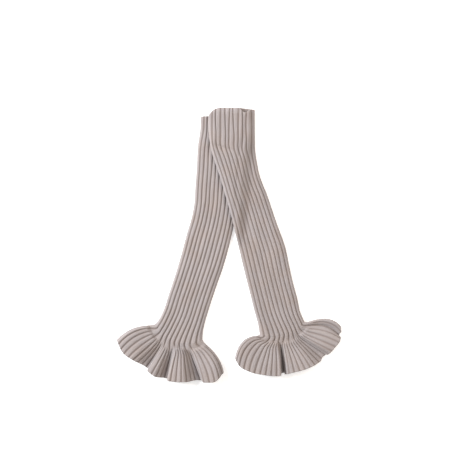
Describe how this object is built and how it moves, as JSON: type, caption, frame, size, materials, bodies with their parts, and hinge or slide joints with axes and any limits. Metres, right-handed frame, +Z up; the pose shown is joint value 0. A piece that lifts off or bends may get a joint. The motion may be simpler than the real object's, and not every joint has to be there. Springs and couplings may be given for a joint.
{
  "type": "pair of leg warmers",
  "caption": "Pair of long rib-knit leg warmers with wide fluted ruffles at the ankle, laid flat with the top of one over the other.",
  "frame": {"origin": "middle of the pair's footprint, on the surface that it lies on", "axes": "+Z up, +Y from the ruffles towards the mouths, +X to the right as the pair is seen from above"},
  "size_m": [0.4268, 0.5184, 0.0263],
  "materials": {
    "left_tube_knit": "dull rib-knitted yarn",
    "left_ruffle_knit": "dull rib-knitted yarn",
    "right_tube_knit": "dull rib-knitted yarn",
    "right_ruffle_knit": "dull rib-knitted yarn"
  },
  "bodies": {
    "root": {"left_tube": "left_tube_knit", "left_ruffle": "left_ruffle_knit", "right_tube": "right_tube_knit", "right_ruffle": "right_ruffle_knit"}
  },
  "joints": []
}
